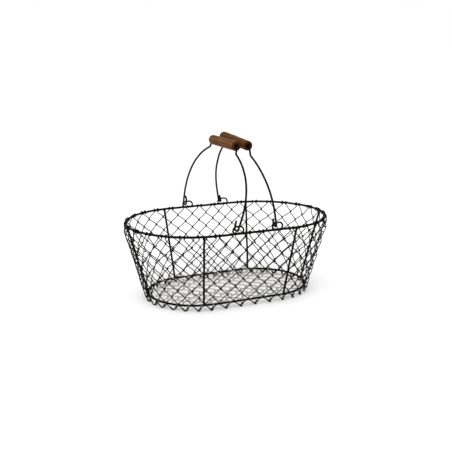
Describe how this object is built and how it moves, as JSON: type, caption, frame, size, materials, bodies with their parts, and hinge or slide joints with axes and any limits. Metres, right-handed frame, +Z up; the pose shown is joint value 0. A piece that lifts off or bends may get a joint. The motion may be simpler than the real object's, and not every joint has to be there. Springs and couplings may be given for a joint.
{
  "type": "egg basket",
  "caption": "Oval woven wire egg basket: two hoops and ribs, chain-link wall and floor, twin swinging bails with turned wooden grips.",
  "frame": {"origin": "on the floor under the middle of the basket, at the bottom centre of its box", "axes": "+Z up, +X along the oval's long way, +Y to the back"},
  "size_m": [0.3626, 0.255, 0.2773],
  "materials": {
    "frame_rod": "blackened iron rod with brown rust bloom, satin",
    "bail_wire": "blackened iron wire, polished by handling, satin",
    "mesh_wire": "dull blackened thin wire",
    "wood_left": "worn oiled turned wood, dark end grain",
    "wood_right": "worn oiled turned wood, redder, dark end grain"
  },
  "bodies": {
    "basket": {"bottom_ring": "frame_rod", "eye_back_left": "frame_rod", "eye_back_right": "frame_rod", "eye_front_left": "frame_rod", "eye_front_right": "frame_rod", "floor_mesh_01": "mesh_wire", "floor_mesh_02": "mesh_wire", "floor_mesh_03": "mesh_wire", "floor_mesh_04": "mesh_wire", "floor_mesh_05": "mesh_wire", "floor_mesh_06": "mesh_wire", "floor_mesh_07": "mesh_wire", "floor_mesh_08": "mesh_wire", "floor_mesh_09": "mesh_wire", "rib_back_left": "frame_rod", "rib_back_right": "frame_rod", "rib_front_left": "frame_rod", "rib_front_right": "frame_rod", "rib_left_end": "frame_rod", "rib_right_end": "frame_rod", "top_rim": "frame_rod", "wall_mesh_01": "mesh_wire", "wall_mesh_02": "mesh_wire", "wall_mesh_03": "mesh_wire", "wall_mesh_04": "mesh_wire", "wall_mesh_05": "mesh_wire", "wall_mesh_06": "mesh_wire", "wall_mesh_07": "mesh_wire", "wall_mesh_08": "mesh_wire", "wall_mesh_09": "mesh_wire", "wall_mesh_10": "mesh_wire", "wall_mesh_11": "mesh_wire", "wall_mesh_12": "mesh_wire", "wall_mesh_13": "mesh_wire", "wall_mesh_14": "mesh_wire", "wall_mesh_15": "mesh_wire", "wall_mesh_16": "mesh_wire", "wall_mesh_17": "mesh_wire", "wall_mesh_18": "mesh_wire", "wall_mesh_19": "mesh_wire", "wall_mesh_20": "mesh_wire", "wall_mesh_21": "mesh_wire", "wall_mesh_22": "mesh_wire", "wall_mesh_23": "mesh_wire", "wall_mesh_24": "mesh_wire", "wall_mesh_25": "mesh_wire", "wall_mesh_26": "mesh_wire", "wall_mesh_27": "mesh_wire", "wall_mesh_28": "mesh_wire", "wall_mesh_29": "mesh_wire", "wall_mesh_30": "mesh_wire", "wall_mesh_31": "mesh_wire", "wall_mesh_32": "mesh_wire", "wall_mesh_33": "mesh_wire", "wall_mesh_34": "mesh_wire"},
    "left_bail": {"left_bail": "bail_wire"},
    "left_grip": {"left_grip": "wood_left"},
    "right_bail": {"right_bail": "bail_wire"},
    "right_grip": {"right_grip": "wood_right"}
  },
  "joints": [
    {"name": "left_bail_swing", "type": "hinge", "parent": "basket", "child": "left_bail", "pos_m": [-0.0353, 0, 0.13846], "axis": [0, 1, 0], "range_deg": [-100.2, 0]},
    {"name": "right_bail_swing", "type": "hinge", "parent": "basket", "child": "right_bail", "pos_m": [0.0353, 0, 0.13846], "axis": [0, 1, 0], "range_deg": [0, 95.2]},
    {"name": "left_grip_spin", "type": "hinge", "parent": "left_bail", "child": "left_grip", "pos_m": [-0.00498, 0, 0.26385], "axis": [0, 1, 0], "continuous": true},
    {"name": "right_grip_spin", "type": "hinge", "parent": "right_bail", "child": "right_grip", "pos_m": [0.01601, 0, 0.26601], "axis": [-0.0086, 0.9983, 0.0569], "continuous": true}
  ]
}
